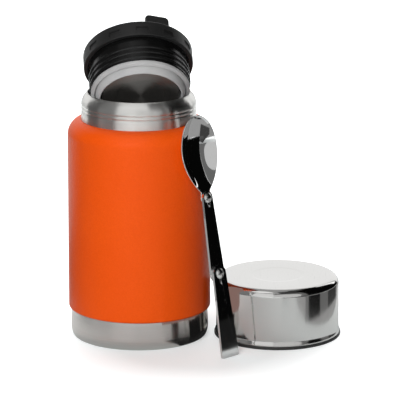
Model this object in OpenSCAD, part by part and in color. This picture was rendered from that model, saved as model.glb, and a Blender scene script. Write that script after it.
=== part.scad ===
// Insulated food jar set: a double-walled steel jar with a powder-coated body, a screw-in
// stopper standing tilted in the mouth, a steel cup lying rim down beside the jar, and a
// folding spoon leaning on the jar. Millimetres, +Z up, origin at the centre of the jar's
// base. Every piece is drawn where it is in use on the table.

/* [Coated body] */
// Outer radius of the coated body
body_r = 48.5; // [47.5:0.5:50]
// Height of the coat's rolled lower edge above the table
coat_z = 19.6; // [15:0.2:24]
// Height at which the shoulder starts to round in
shoulder_z = 140.5; // [138:0.5:141]
// Radius of the round shoulder
shoulder_r = 11; // [10.5:0.25:11.5]
// Thickness of the outer steel sheet
outer_t = 0.8; // [0.5:0.1:0.9]

/* [Base] */
// Radius of the bare steel band just under the coat
band_top_r = 46.4; // [46:0.1:46.8]
// Radius of the band at the crease above the heel
band_low_r = 47; // [46.6:0.1:47.3]
// Height of the crease where the heel begins
heel_z = 6.5; // [5:0.5:8]
// Radius at which the heel meets the table
foot_r = 44.65; // [44:0.05:45.5]
// Radius of the round recess under the base
recess_r = 41.9; // [40:0.1:42]
// Depth of that recess
recess_h = 3; // [2.6:0.1:3.2]

/* [Neck and mouth] */
// Height of the mouth's rim above the table
rim_z = 169.8; // [168:0.2:172]
// Largest outer radius of the bare neck
neck_r = 37.4; // [37:0.1:37.6]
// Outer radius of the rim
rim_r = 35.6; // [35.4:0.1:35.8]
// Thickness of the neck's steel
neck_t = 0.5; // [0.4:0.1:0.5]
// Inner radius of the throat that the stopper's seal sits on
throat_r = 32; // [31:0.5:32.5]
// Height of that sealing seat
seat_z = 149.5; // [149:0.1:150]
// Pitch of the screw thread
pitch = 4.1; // [3.8:0.1:4.4]

/* [Inner vessel] */
// Inner radius of the food vessel
vessel_r = 43.3; // [42:0.1:44]
// Height of the vessel's floor above the table
vessel_floor_z = 8; // [7.5:0.1:9]
// Thickness of the vessel's steel
vessel_t = 0.4; // [0.3:0.1:0.4]

/* [Stopper] */
// Outer radius of the stopper's cap
cap_r = 37.05; // [36.5:0.05:37.3]
// Height of the cap's rim above the seal's edge
cap_low = 18.9; // [18.5:0.1:20]
// Height of the cap's top above the seal's edge
cap_top = 30.4; // [29.5:0.1:31.5]
// Radius of the threaded plug
plug_r = 33.5; // [33:0.1:33.6]
// Number of grip pockets round the cap
grip_count = 12; // [8:1:16]
// Where the centre of the seal's edge is
stopper_at = [1.25, -14.4, 174.1];
// How far the stopper leans back from level, in degrees
stopper_back = 48.6; // [48:0.1:49.5]
// How far it leans to the left, in degrees
stopper_side = 4; // [3.5:0.1:4.5]
// Width of the finger tab on the cap
tab_w = 16.7; // [14:0.1:18]
// Length of the finger tab from its pin
tab_l = 13.3; // [10:0.1:14]
// Where the tab is round the cap, in degrees from the highest edge
tab_turn = 20; // [0:1:40]
// How far the tab stands to the right of that line
tab_shift = 5.2; // [0:0.1:5.3]

/* [Cup] */
// Where the centre of the cup is on the table
cup_at = [94.6, -1.5, 0];
// Outer radius of the cup's steel wall
cup_r = 42; // [41.5:0.1:42.5]
// Height of the cup
cup_h = 41.5; // [39.5:0.5:43]
// Radius of the edge round the cup's top
cup_round = 5.2; // [3:0.2:6]
// Thickness of the cup's steel
cup_t = 0.6; // [0.5:0.1:0.7]
// Outer radius of the black ring at the cup's rim
ring_r = 43.3; // [42.9:0.1:43.7]

/* [Spoon] */
// Length of the unfolded spoon
spoon_l = 164.7; // [163:0.1:166]
// Distance of the lower rivet from the handle's end
rivet_low = 57.3; // [56:0.1:58]
// Distance of the upper rivet from the handle's end
rivet_up = 109; // [108:0.1:109.5]
// Thickness of the spoon's plates
plate_t = 1.6; // [1.5:0.1:1.7]
// Width of the bowl
bowl_w = 33.4; // [31:0.1:34]
// Depth of the bowl
bowl_depth = 6.4; // [5:0.1:6.5]
// Direction in which the spoon stands, in degrees from the front
spoon_turn = 46; // [44:0.5:48]
// Distance of the spoon's foot from the jar's axis
spoon_reach = 85.2; // [85.2:0.1:86]
// How far the spoon leans towards the jar, in degrees
spoon_lean = 10.6; // [10.4:0.1:10.6]

/* [Hidden] */
$fn = 96;

roll_r = 1.5;                          // rolled lower edge of the coated body
shoulder_sweep = 80;                   // degrees of arc in the shoulder
mouth_r = rim_r - neck_t - vessel_t - 0.03;   // bare way through the mouth
thread_low = seat_z + 3.6;             // lowest point of the vessel's thread
foil_t = 0.15;                         // reflector foil
skirt_r = mouth_r - 0.4;               // crest of the stopper's thread
pocket_w = 8.4;                        // grip pockets: width, height and depth
pocket_h = 3.8;
pocket_d = 0.8;
pocket_z = (cap_low + cap_top - pocket_h) / 2 - 1;   // their lower edge
hinge_r = 26.3;                        // finger tab's pin: distance from the axis
hinge_h = 29.9;                        // and height above the seal's edge
tab_pin_r = 0.8;
tab_t = 2.2;
play = 0.05;                           // running clearance round a pin or rivet
plate_gap = 0.1;                       // gap between two plates of the spoon
rivet_r = 2;
rivet_head_r = 3.6;
rivet_head_h = 1.3;
rivet_tail_r = 2.6;                    // spread tail, flush with the back plate
rivet_tail_h = 0.6;
bowl_t = 1.2;                          // thickness of the bowl's steel
bowl_twist = 1.5;                      // the bowl stands this far out of line
link_y = plate_gap;                    // front of the link's plate
shank_y = 2 * plate_gap + plate_t;     // front of the bowl's shank

// Points along an arc, or along a quarter of an ellipse when ry is given
function arc(c, r, a0, a1, n = 8, ry = undef) =
  let (rz = is_undef(ry) ? r : ry)
  [for (i = [0:n]) let (a = a0 + (a1 - a0) * i / n) c + [r * cos(a), rz * sin(a)]];

function unit(v) = v / norm(v);

// Left-hand normal of a path at point i
function path_normal(p, i) =
  let (d = unit(p[min(i + 1, len(p) - 1)] - p[max(i - 1, 0)])) [-d[1], d[0]];

// Outline of a sheet of thickness t on the left of a path
function sheet(p, t) =
  concat(p, [for (i = [len(p) - 1:-1:0]) p[i] + t * path_normal(p, i)]);

function clamp01(x) = min(1, max(0, x));
function smooth(x) = let (c = clamp01(x)) c * c * (3 - 2 * c);

module turned(outline) rotate_extrude() polygon(outline);

// Closed solid through a row of equal loops of points. Points j and n-1-j of a loop face
// each other, so each end is closed by a strip of triangles between them.
module loft(loops) {
  n = len(loops[0]);
  end = (len(loops) - 1) * n;
  points = [for (l = loops) for (p = l) p];
  sides = [for (a = [0:n:end - 1]) for (j = [0:n - 1]) let (k = (j + 1) % n)
    each [[a + j, a + n + j, a + k], [a + k, a + n + j, a + n + k]]];
  strip = [for (j = [0:n / 2 - 2]) each [[j, j + 1, n - 2 - j], [j, n - 2 - j, n - 1 - j]]];
  cap = [for (f = strip) [end + f[2], end + f[1], end + f[0]]];
  polyhedron(points, concat(sides, strip, cap), convexity = 6);
}

// Screw thread on a wall of radius root, with its crest at radius crest, starting at z. Each
// quarter turn is a round ridge tilted by the thread's lead, a hair apart from the next.
module thread(root, crest, z, turns, root_w = 2.2, crest_w = 0.9) {
  sweep = 89.4;
  lead = atan(pitch / 8 / (root * sin(45)));
  bed = root - 0.25 * sign(crest - root);
  for (i = [0:4 * turns - 1])
    rotate([0, 0, 90 * i]) translate([0, 0, z + pitch * (i + 0.5) / 4]) rotate([lead, 0, 0])
      rotate([0, 0, -sweep / 2]) rotate_extrude(angle = sweep)
        polygon([[bed, -root_w / 2], [crest, -crest_w / 2], [crest, crest_w / 2], [bed, root_w / 2]]);
}

// ---- Jar ----

// Drawn outer can: rolled lower edge, straight wall and round shoulder
module body_shell() color("orangered")
  turned(sheet(concat(
    [[band_top_r, coat_z]],
    arc([body_r - roll_r, coat_z + roll_r], roll_r, -90, 0),
    arc([body_r - shoulder_r, shoulder_z], shoulder_r, 0, shoulder_sweep, 16)), outer_t));

// Bare base cup: band, heel, standing ring and recessed bottom with its evacuation hole
module base_cup() color("silver")
  turned(sheet(concat(
    [[band_top_r, coat_z + 6], [band_top_r, coat_z + 1], [band_top_r, coat_z]],
    arc([foot_r, heel_z], band_low_r - foot_r, 0, -90, 8, heel_z),
    arc([recess_r + 1, 1], 1, -90, -180),
    arc([recess_r - 0.8, recess_h - 0.8], 0.8, 0, 90, 6),
    [[1, recess_h]]), -outer_t));

// Bare neck: foot under the shoulder's edge, two rolled grooves, barrel and rim
module neck_collar() color("silver") {
  foot = body_r - shoulder_r + (shoulder_r - outer_t) * cos(shoulder_sweep) - 0.05;
  foot_z = shoulder_z + shoulder_r * sin(shoulder_sweep);
  lip_z = rim_z - 0.6;
  rise = lip_z - 161.1;
  bend = (rise * rise + pow(neck_r - rim_r, 2)) / (2 * (neck_r - rim_r));
  sweep = asin(rise / bend);
  turned(sheet(concat(
    [[foot, foot_z - 3.5], [foot, foot_z - 0.4]],
    [for (i = [0:6]) [foot - (foot - neck_r + 0.1) * sin(15 * i), 155.3 - (155.3 - foot_z) * cos(15 * i)]],
    [for (z = [158.1, 160.7]) each [[neck_r - 0.1, z - 0.5], [neck_r - 0.4, z], [neck_r - 0.05, z + 0.4]]],
    arc([neck_r - bend, 161.1], bend, 0, sweep, 8),
    arc([rim_r - 0.45, lip_z], 0.55, 20, 80, 3)), neck_t));
}

// Food vessel: mouth with thread, sealing seat, throat, round shoulder, wall and floor
module inner_vessel() color("lightgray") union() {
  turned(sheet(concat(
    [[mouth_r, rim_z], [mouth_r, seat_z + 1.2]],
    arc([mouth_r - 0.8, seat_z + 0.8], 0.8, 0, -90, 4),
    arc([throat_r + 0.8, seat_z - 0.8], 0.8, 90, 180, 4),
    arc([throat_r + 2, 143.9], 2, 180, 270, 6),
    arc([vessel_r - 6, 135.9], 6, 90, 0, 10),
    arc([vessel_r - 10, vessel_floor_z + 10], 10, 0, -90, 12),
    [[0, vessel_floor_z]]), vessel_t));
  thread(mouth_r, mouth_r - 0.75, thread_low, 2);
}

// Bright foil wrapped round the vessel inside the vacuum
module reflector_foil() color("gold")
  translate([0, 0, 24]) difference() {
    cylinder(h = 104, r = vessel_r + vessel_t + foil_t);
    translate([0, 0, -1]) cylinder(h = 106, r = vessel_r + vessel_t);
  }

// Gas-absorbing pellet fixed under the vessel's floor
module getter() color("dimgray")
  translate([0, 0, vessel_floor_z - vessel_t - 1.2]) cylinder(h = 1.2, r = 6);

// Solder bead that closes the evacuation hole
module port_bead() color("gray") {
  turned(concat([[0, recess_h - 0.8], [1.6, recess_h - 0.8]],
    arc([1.9, recess_h - 0.3], 0.5, -70, 0, 4),
    [[2.4, recess_h], [1, recess_h], [1, recess_h + outer_t], [0, recess_h + outer_t]]));
}

// Pressed disc that covers the bottom
module base_cover() color("silver")
  turned(sheet(concat(
    [[recess_r, 2.1], [recess_r, 1.7]],
    arc([recess_r - 0.6, 1.6], 0.6, 0, -90, 5),
    [[0, 1]]), -0.5));

// ---- Stopper ----

module at_stopper() translate(stopper_at) rotate([-stopper_back, 0, 0]) rotate([0, -stopper_side, 0])
  children();

module at_tab() at_stopper() rotate([0, 0, tab_turn]) translate([tab_shift, -hinge_r, hinge_h])
  children();

// Cap with a flat rim, a shallow round recess on top, grip pockets and two tab lugs
module stopper_cap() color("#2c2c2c") {
  lug_w = 2;
  recess = cap_top - 2;
  at_stopper() difference() {
    union() {
      turned(concat(
        [[0, recess - 2], [plug_r + 1.1, recess - 2], [plug_r + 1.1, cap_low], [cap_r - 0.5, cap_low]],
        arc([cap_r - 0.5, cap_low + 0.5], 0.5, -60, 0, 3),
        arc([cap_r - 1.2, cap_top - 1.2], 1.2, 0, 90, 5),
        [[31.6, cap_top], [31, cap_top - 0.6], [31, recess], [0, recess]]));
      rotate([0, 0, tab_turn]) for (s = [-1, 1])
        translate([tab_shift + s * (tab_w + lug_w + 0.6) / 2, -hinge_r, 0]) {
          translate([-lug_w / 2, -1.6, recess - 0.5]) cube([lug_w, 3.2, hinge_h - recess + 0.5]);
          translate([-lug_w / 2, 0, hinge_h]) rotate([0, 90, 0]) cylinder(h = lug_w, r = 1.6, $fn = 32);
        }
    }
    for (i = [0:grip_count - 1])
      rotate([0, 0, 5 + 360 * i / grip_count])
        translate([-pocket_w / 2, -cap_r - 1, pocket_z])
          cube([pocket_w, 1 + pocket_d, pocket_h]);
    rotate([0, 0, tab_turn]) translate([tab_shift - tab_w / 2 - lug_w - 1, -hinge_r, hinge_h])
      rotate([0, 90, 0]) cylinder(h = tab_w + 2 * lug_w + 2, r = tab_pin_r, $fn = 32);
  }
}

// Threaded plug, hollow for the insulation, with a boss that carries the steel disc
module stopper_core() color("#1c1c1c") at_stopper() union() {
  turned([[0, -4.45], [25.7, -4.45], [25.7, -1.5], [27.2, -1.5], [27.2, 0.6], [plug_r - 0.4, 0.6],
    [plug_r, 1], [plug_r, cap_low], [plug_r + 1.1, cap_low], [plug_r + 1.1, cap_low + 2],
    [plug_r - 2, cap_low + 2], [plug_r - 2, 2.6], [24.5, 2.6], [24.5, -2.8], [0, -2.8]]);
  rotate([0, 0, 201]) thread(plug_r, skirt_r, 1.9, 2.75);
}

// Insulating filling between plug and cap
module stopper_foam() color("ivory") at_stopper()
  turned([[0, -2.8], [24.5, -2.8], [24.5, 2.6], [plug_r - 2, 2.6],
    [plug_r - 2, cap_top - 4], [0, cap_top - 4]]);

// Silicone sealing ring with an outer edge, a groove and a lower lip
module stopper_seal() color("#b4b4b4") at_stopper()
  turned(concat([[27.2, 0.6], [27.2, -6.2]],
    arc([27.75, -6.3], 0.6, 200, 330, 5),
    [[29.3, -5.6], [30.2, -3.3], [30.4, -2.4], [31, -2.4], [31.2, -3]],
    arc([32.6, -0.2], 0.7, -60, 60, 5),
    [[32.7, 0.6]]));

// Steel disc pressed on the plug's boss, with a round step
module stopper_disc() color("silver") at_stopper()
  turned(sheet(concat([[0, -4.95], [16.2, -4.95], [17.1, -5.3], [25.2, -5.3]],
    arc([25.4, -4.5], 0.8, -80, 0, 5), [[26.2, -1.5]]), 0.5));

// Steel pin of the finger tab, pressed into the two lugs
module tab_pin() color("silver") at_tab()
  translate([-(tab_w + 4.6) / 2, 0, 0]) rotate([0, 90, 0])
    cylinder(h = tab_w + 4.6, r = tab_pin_r, $fn = 32);

// Finger tab: a round barrel on the pin and a flat tongue with rounded corners
module lift_tab() color("#242424") at_tab() {
  corner = 3;
  difference() {
    union() {
      translate([-tab_w / 2, 0, 0]) rotate([0, 90, 0]) cylinder(h = tab_w, r = 1.4, $fn = 32);
      translate([0, tab_t / 2, 0]) rotate([90, 0, 0]) linear_extrude(tab_t)
        polygon(concat([[-tab_w / 2, 0], [tab_w / 2, 0]],
          arc([tab_w / 2 - corner, tab_l - corner], corner, 0, 90),
          arc([-tab_w / 2 + corner, tab_l - corner], corner, 90, 180)));
    }
    translate([-tab_w / 2 - 1, 0, 0]) rotate([0, 90, 0])
      cylinder(h = tab_w + 2, r = tab_pin_r + play, $fn = 32);
  }
}

// ---- Cup ----

// Drawn steel cup, rim down: flared rim, straight wall, rounded edge, top with a round step
module cup_shell() color("silver") translate(cup_at)
  turned(sheet(concat(
    [[cup_r + 0.8, 2.3], [cup_r + 0.8, 2.6], [cup_r + 0.7, 3.1], [cup_r + 0.1, 4.6], [cup_r, 5.6]],
    arc([cup_r - cup_round, cup_h - cup_round], cup_round, 0, 90, 8),
    [[17.6, cup_h], [17.2, cup_h - 0.3], [0, cup_h - 0.3]]), cup_t));

// Moulded liner: black ring at the rim, skirt against the wall and a snap bead
module cup_liner() color("#303030") translate(cup_at)
  turned(concat([[38.8, 0], [ring_r - 0.6, 0]],
    arc([ring_r - 0.6, 0.6], 0.6, -90, 0, 4),
    [[ring_r, 1.8], [ring_r - 0.4, 2.3], [cup_r - cup_t - 0.1, 2.3], [cup_r - cup_t - 0.1, 30],
     [39.4, 30], [39.2, 29.6], [39.2, 9.5]],
    arc([39.2, 8], 1.5, 90, 270, 6),
    [[38.8, 6]]));

// ---- Spoon ----

// In the spoon's own frame x is across, -y is the front and z runs up from the foot
module at_spoon() translate([spoon_reach * sin(spoon_turn), -spoon_reach * cos(spoon_turn), 0])
  rotate([-spoon_lean, 0, spoon_turn]) children();

// Plate with this outline in x and z, whose front is at y
module plate(outline, y) translate([0, y + plate_t, 0]) rotate([90, 0, 0])
  linear_extrude(plate_t) polygon(outline);

// Bar with round ends of radius r0 at height z0 and radius r1 at height z1
function bar(z0, r0, z1, r1) = let (g = asin((r0 - r1) / (z1 - z0)))
  concat(arc([0, z1], r1, g, 180 - g, 16), arc([0, z0], r0, 180 - g, 360 + g, 16));

module rivet_hole(z, r) translate([0, 20, z]) rotate([90, 0, 0]) cylinder(h = 40, r = r, $fn = 48);

// Widening of the rivet's hole at the back face of a plate
module tail(z, y_back, h) translate([0, y_back, z]) rotate([90, 0, 0])
  cylinder(h = h, r1 = rivet_tail_r, r2 = rivet_r, $fn = 48);

// Rivet with a domed head in front of y_front and a spread tail flush with y_back
module rivet(z, y_front, y_back) {
  length = y_back - y_front + play;
  dome_r = (pow(rivet_head_r, 2) + pow(rivet_head_h, 2)) / (2 * rivet_head_h);
  tip = asin((dome_r - rivet_head_h) / dome_r);
  translate([0, y_back, z]) rotate([90, 0, 0]) turned(concat(
    [[0, 0], [rivet_tail_r, 0], [rivet_r, rivet_tail_h], [rivet_r, length]],
    arc([0, length + rivet_head_h - dome_r], dome_r, tip, 90, 8)));
}

// Half width of the bowl at height z
bowl_mid = 141;
bowl_low = 113;
neck_w = 3.9;
function bowl_half(z) = z > bowl_mid
  ? max(0.6, bowl_w / 2 * sqrt(max(0, 1 - pow((z - bowl_mid) / (spoon_l - bowl_mid), 2))))
  : neck_w + (bowl_w / 2 - neck_w) * pow(max(0, 1 - pow((bowl_mid - z) / (bowl_mid - bowl_low), 2)), 0.9);
// Depth of the bowl at height z, measured from its rim
function bowl_dip(z) = let (mid = bowl_mid - 1)
  bowl_depth * pow(max(0, 1 - pow((z - mid) / (z > mid ? spoon_l - mid : mid - bowl_low - 2), 2)), 0.8);
function bowl_rim_y(z) = shank_y + 0.04
  + 0.9 * pow(sin(180 * clamp01((z - bowl_low) / (spoon_l - bowl_low))), 2);
function bowl_steel(z) = plate_t - 0.08 - (plate_t - bowl_t) * smooth((z - bowl_low) / 9);

// Loop of points round the bowl's section at height z: front from left to right, then back
function bowl_loop(z, n = 10) = let (w = bowl_half(z), y = bowl_rim_y(z), d = bowl_dip(z), t = bowl_steel(z))
  concat([for (i = [0:n]) let (u = -cos(180 * i / n)) [w * u, y + d * (1 - u * u), z]],
         [for (i = [n:-1:0]) let (u = -cos(180 * i / n)) [w * u, y + t + d * (1 - u * u), z]]);

// Bowl with its shank and the eye for the upper rivet
module spoon_bowl() color("silver") at_spoon()
  translate([0, 0, rivet_up]) rotate([0, bowl_twist, 0]) translate([0, 0, -rivet_up]) difference() {
    union() {
      loft([for (i = [0:22]) bowl_loop(bowl_low + (spoon_l - bowl_low) * sin(90 * i / 22))]);
      plate(bar(rivet_up, 4.4, bowl_low + 3, neck_w - 0.05), shank_y);
    }
    rivet_hole(rivet_up, rivet_r);
    tail(rivet_up, shank_y + plate_t, rivet_tail_h);
  }

// Middle plate, narrow at the upper rivet and wider at the lower one
module spoon_link() color("silver") at_spoon() difference() {
  plate(bar(rivet_low, 6.3, rivet_up, 4.4), link_y);
  rivet_hole(rivet_up, rivet_r + play);
  rivet_hole(rivet_low, rivet_r);
  tail(rivet_low, link_y + plate_t, rivet_tail_h);
  translate([0, link_y - 0.9, rivet_up - 6.2]) sphere(r = 1.2, $fn = 24);
}

// Handle plate that widens towards its foot
module spoon_handle() color("silver") at_spoon() difference() {
  foot_half = 8;
  corner = 1.6;
  plate(concat(arc([0, rivet_low], 5.8, 3, 177, 16),
    arc([corner - foot_half, corner], corner, 180, 270, 6),
    arc([foot_half - corner, corner], corner, 270, 360, 6)), -plate_t);
  rivet_hole(rivet_low, rivet_r + play);
  translate([0, -plate_t - 0.9, rivet_low - 7.2]) sphere(r = 1.2, $fn = 24);
}

module upper_rivet() color("gainsboro") at_spoon() rivet(rivet_up, link_y, shank_y + plate_t);

module lower_rivet() color("gainsboro") at_spoon() rivet(rivet_low, -plate_t, link_y + plate_t);

body_shell();
base_cup();
neck_collar();
inner_vessel();
reflector_foil();
getter();
port_bead();
base_cover();
stopper_cap();
stopper_core();
stopper_foam();
stopper_seal();
stopper_disc();
tab_pin();
lift_tab();
cup_shell();
cup_liner();
spoon_bowl();
spoon_link();
spoon_handle();
upper_rivet();
lower_rivet();
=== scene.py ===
import math

import bmesh
import bpy
from mathutils import Matrix, Vector


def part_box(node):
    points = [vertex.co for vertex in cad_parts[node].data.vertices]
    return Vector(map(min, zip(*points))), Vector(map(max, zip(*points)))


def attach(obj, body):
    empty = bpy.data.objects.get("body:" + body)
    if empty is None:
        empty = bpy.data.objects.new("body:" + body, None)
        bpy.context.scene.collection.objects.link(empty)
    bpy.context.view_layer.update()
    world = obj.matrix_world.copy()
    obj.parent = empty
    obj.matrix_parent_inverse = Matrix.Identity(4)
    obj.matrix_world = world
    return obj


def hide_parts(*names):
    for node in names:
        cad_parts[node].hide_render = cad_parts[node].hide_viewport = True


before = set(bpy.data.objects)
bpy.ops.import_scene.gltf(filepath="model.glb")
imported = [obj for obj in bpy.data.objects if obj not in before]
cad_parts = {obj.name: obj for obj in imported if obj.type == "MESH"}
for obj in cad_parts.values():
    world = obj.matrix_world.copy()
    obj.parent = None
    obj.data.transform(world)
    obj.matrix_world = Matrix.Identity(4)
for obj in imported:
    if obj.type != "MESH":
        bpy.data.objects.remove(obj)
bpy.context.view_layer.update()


# ---- Camera ----
# A long lens far in front of the set. It looks 14.6 degrees down on the table, as in the
# photograph.
camera = bpy.data.objects.new("camera", bpy.data.cameras.new("camera"))
camera.data.sensor_width = 36
camera.data.lens = 339.2
camera.location = (0.04147, -2.4893, 0.7407)
camera.rotation_euler = (math.radians(75.43), 0, 0)
bpy.context.collection.objects.link(camera)
bpy.context.scene.camera = camera


# ---- Coated body ----
# The outer can, drawn from steel sheet and powder coated in orange, with a rolled lower edge.
# The coat is baked on, so it has a fine peel and shines a little.
def node(tree, kind, inputs=None, **settings):
    """A shader node with its settings; an input takes a value or another node's output."""
    made = tree.nodes.new("ShaderNode" + kind)
    for name, value in settings.items():
        setattr(made, name, value)
    for name, value in (inputs or {}).items():
        if isinstance(value, bpy.types.NodeSocket):
            tree.links.new(value, made.inputs[name])
        else:
            made.inputs[name].default_value = value
    return made


def math_node(tree, operation, a, b=0.0, c=0.0):
    return node(tree, "Math", {0: a, 1: b, 2: c}, operation=operation).outputs[0]


def mix_colors(tree, factor, a, b):
    mixed = node(tree, "Mix", data_type="RGBA")
    for index, value in ((0, factor), (6, a), (7, b)):
        if isinstance(value, bpy.types.NodeSocket):
            tree.links.new(value, mixed.inputs[index])
        else:
            mixed.inputs[index].default_value = value
    return mixed.outputs[2]


def new_group(name, inputs, outputs):
    """An empty node group with float inputs (name: value) and the named float outputs."""
    group = bpy.data.node_groups.new(name, "ShaderNodeTree")
    for label, value in inputs.items():
        socket = group.interface.new_socket(label, in_out="INPUT", socket_type="NodeSocketFloat")
        socket.default_value = value
    for label in outputs:
        group.interface.new_socket(label, in_out="OUTPUT", socket_type="NodeSocketFloat")
    source = group.nodes.new("NodeGroupInput")
    sink = group.nodes.new("NodeGroupOutput")
    return group, source.outputs, sink.inputs


def place_group(tree, group, values):
    made = tree.nodes.new("ShaderNodeGroup")
    made.node_tree = group
    for label, value in values.items():
        made.inputs[label].default_value = value
    return made.outputs


def noise(tree, vector, scale, detail=2.0, roughness=0.5):
    made = node(tree, "TexNoise", {"Vector": vector, "Scale": scale, "Detail": detail,
                                   "Roughness": roughness})
    return made.outputs["Fac"]


def spread(tree, value, low, high, to_low=0.0, to_high=1.0):
    """The value's range low to high, stretched to another range and clamped."""
    made = node(tree, "MapRange", {"Value": value, "From Min": low, "From Max": high,
                                   "To Min": to_low, "To Max": to_high})
    return made.outputs["Result"]


def new_material(name, color, roughness, metallic=0.0):
    material = bpy.data.materials.new(name)
    material.use_nodes = True
    shader = material.node_tree.nodes["Principled BSDF"]
    shader.inputs["Base Color"].default_value = (*color, 1)
    shader.inputs["Roughness"].default_value = roughness
    shader.inputs["Metallic"].default_value = metallic
    return material, material.node_tree, shader


def bump(tree, shader, height, distance):
    made = node(tree, "Bump", {"Height": height, "Distance": distance})
    tree.links.new(made.outputs["Normal"], shader.inputs["Normal"])


def object_place(tree):
    return node(tree, "TexCoord").outputs["Object"]


def paint_node(name, material):
    """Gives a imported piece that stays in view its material."""
    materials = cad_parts[name].data.materials
    materials.clear()
    materials.append(material)


def powder_group():
    """Baked powder: fine grains on a slow peel, and patches a shade thinner or thicker."""
    group, source, sink = new_group("powder_texture", {"Grain Size": 0.0007, "Peel Size": 0.004},
                                    ["Height", "Patches", "Grains"])
    place = object_place(group)
    grain_scale = math_node(group, "DIVIDE", 1.0, source["Grain Size"])
    peel_scale = math_node(group, "DIVIDE", 1.0, source["Peel Size"])
    grains = noise(group, place, grain_scale, 3.0, 0.6)
    peel = noise(group, place, peel_scale, 2.0)
    patches = noise(group, place, 22.0, 3.0)
    group.links.new(math_node(group, "MULTIPLY_ADD", peel, 1.6, grains), sink["Height"])
    group.links.new(spread(group, patches, 0.3, 0.7), sink["Patches"])
    group.links.new(spread(group, grains, 0.25, 0.75), sink["Grains"])
    return group


powder_texture = powder_group()
orange_coat, tree, shader = new_material("orange_coat", (0.80, 0.065, 0.003), 0.42)
powder = place_group(tree, powder_texture, {"Grain Size": 0.0010, "Peel Size": 0.0035})
thick_coat = mix_colors(tree, powder["Patches"], (0.80, 0.083, 0.002, 1), (0.84, 0.095, 0.003, 1))
speckled = mix_colors(tree, powder["Grains"], (0.76, 0.074, 0.001, 1), thick_coat)
tree.links.new(speckled, shader.inputs["Base Color"])
tree.links.new(spread(tree, powder["Grains"], 0.0, 1.0, 0.46, 0.36), shader.inputs["Roughness"])
shader.inputs["Specular IOR Level"].default_value = 0.28
bump(tree, shader, powder["Height"], 0.00009)
paint_node("body_shell", orange_coat)


# ---- Bare base ----
# Base cup, bottom disc and the bead that seals the vacuum. Plain stainless steel, spun and
# brushed round the axis; the disc is pressed in and the bead is melted on.
def grain_group():
    """Fine lines that run round a turned piece, broken up slowly along their length."""
    group, source, sink = new_group("ring_grain", {"Lines": 5000.0, "Breaks": 30.0},
                                    ["Height", "Streaks", "Smudges"])
    place = object_place(group)
    part = node(group, "SeparateXYZ", {0: place}).outputs
    flat = node(group, "CombineXYZ", {"X": part["X"], "Y": part["Y"]})
    radius = node(group, "VectorMath", {0: flat.outputs[0]}, operation="LENGTH").outputs["Value"]
    along = math_node(group, "ADD", radius, part["Z"])
    lines = node(group, "CombineXYZ", {
        "X": math_node(group, "MULTIPLY", along, source["Lines"]),
        "Y": math_node(group, "MULTIPLY", part["X"], source["Breaks"]),
        "Z": math_node(group, "MULTIPLY", part["Y"], source["Breaks"])}).outputs[0]
    fine = noise(group, lines, 1.0, 4.0, 0.7)
    broad = noise(group, lines, 0.12, 2.0)
    smudges = noise(group, place, 45.0, 3.0)
    group.links.new(math_node(group, "MULTIPLY_ADD", broad, 0.6, fine), sink["Height"])
    group.links.new(spread(group, broad, 0.3, 0.7), sink["Streaks"])
    group.links.new(spread(group, smudges, 0.35, 0.75), sink["Smudges"])
    return group


ring_grain = grain_group()


def brushed_steel(name, color, roughness, lines, depth, anisotropy=0.6):
    """Steel with fine lines round its Z axis; lines is how many there are in a metre."""
    material, tree, shader = new_material(name, color, roughness, 1.0)
    grain = place_group(tree, ring_grain, {"Lines": lines})
    shade = mix_colors(tree, grain["Streaks"], (*(0.93 * c for c in color), 1), (*color, 1))
    tree.links.new(shade, shader.inputs["Base Color"])
    worn = math_node(tree, "MULTIPLY_ADD", grain["Smudges"], 0.05, roughness)
    tree.links.new(worn, shader.inputs["Roughness"])
    shader.inputs["Anisotropic"].default_value = anisotropy
    shader.inputs["Anisotropic Rotation"].default_value = 0.25
    tangent = node(tree, "Tangent", direction_type="RADIAL", axis="Z")
    tree.links.new(tangent.outputs[0], shader.inputs["Tangent"])
    bump(tree, shader, grain["Height"], depth)
    return material


base_steel = brushed_steel("base_steel", (0.72, 0.705, 0.68), 0.20, 4500.0, 0.000003,
                           anisotropy=0.85)
solder, tree, shader = new_material("solder", (0.55, 0.55, 0.57), 0.42, 1.0)
flow = noise(tree, object_place(tree), 1400.0, 3.0)
bump(tree, shader, flow, 0.00004)
paint_node("base_cup", base_steel)
paint_node("base_cover", base_steel)
paint_node("port_bead", solder)


# ---- Neck ----
# Bare neck of brushed stainless steel, rolled to a slight barrel with two grooves round it.
# It is welded to the can under the shoulder and to the food vessel at the rim.
MM = 0.001


def arc(centre, radius, start, end, steps=8):
    """Points along an arc, from one angle to another in degrees."""
    turns = [math.radians(start + (end - start) * i / steps) for i in range(steps + 1)]
    return [(centre[0] + radius * math.cos(a), centre[1] + radius * math.sin(a)) for a in turns]


def sheet(path, thickness):
    """Outline of a sheet of this thickness on the left of a path."""
    offset = []
    for i, point in enumerate(path):
        before, after = path[max(i - 1, 0)], path[min(i + 1, len(path) - 1)]
        along = Vector((after[0] - before[0], after[1] - before[1])).normalized()
        offset.append((point[0] - thickness * along.y, point[1] + thickness * along.x))
    return path + offset[::-1]


def finish_mesh(piece, mesh, material, sharp=32.0):
    """Gives a piece its outward faces, smooth shading with sharp edges, and its material."""
    bmesh.ops.remove_doubles(mesh, verts=mesh.verts, dist=1e-7)
    bmesh.ops.recalc_face_normals(mesh, faces=mesh.faces)
    mesh.to_mesh(piece.data)
    mesh.free()
    piece.data.shade_smooth()
    piece.data.set_sharp_from_angle(angle=math.radians(sharp))
    piece.data.materials.append(material)


def new_piece(name):
    piece = bpy.data.objects.new(name, bpy.data.meshes.new(name))
    bpy.context.collection.objects.link(piece)
    return piece


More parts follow.
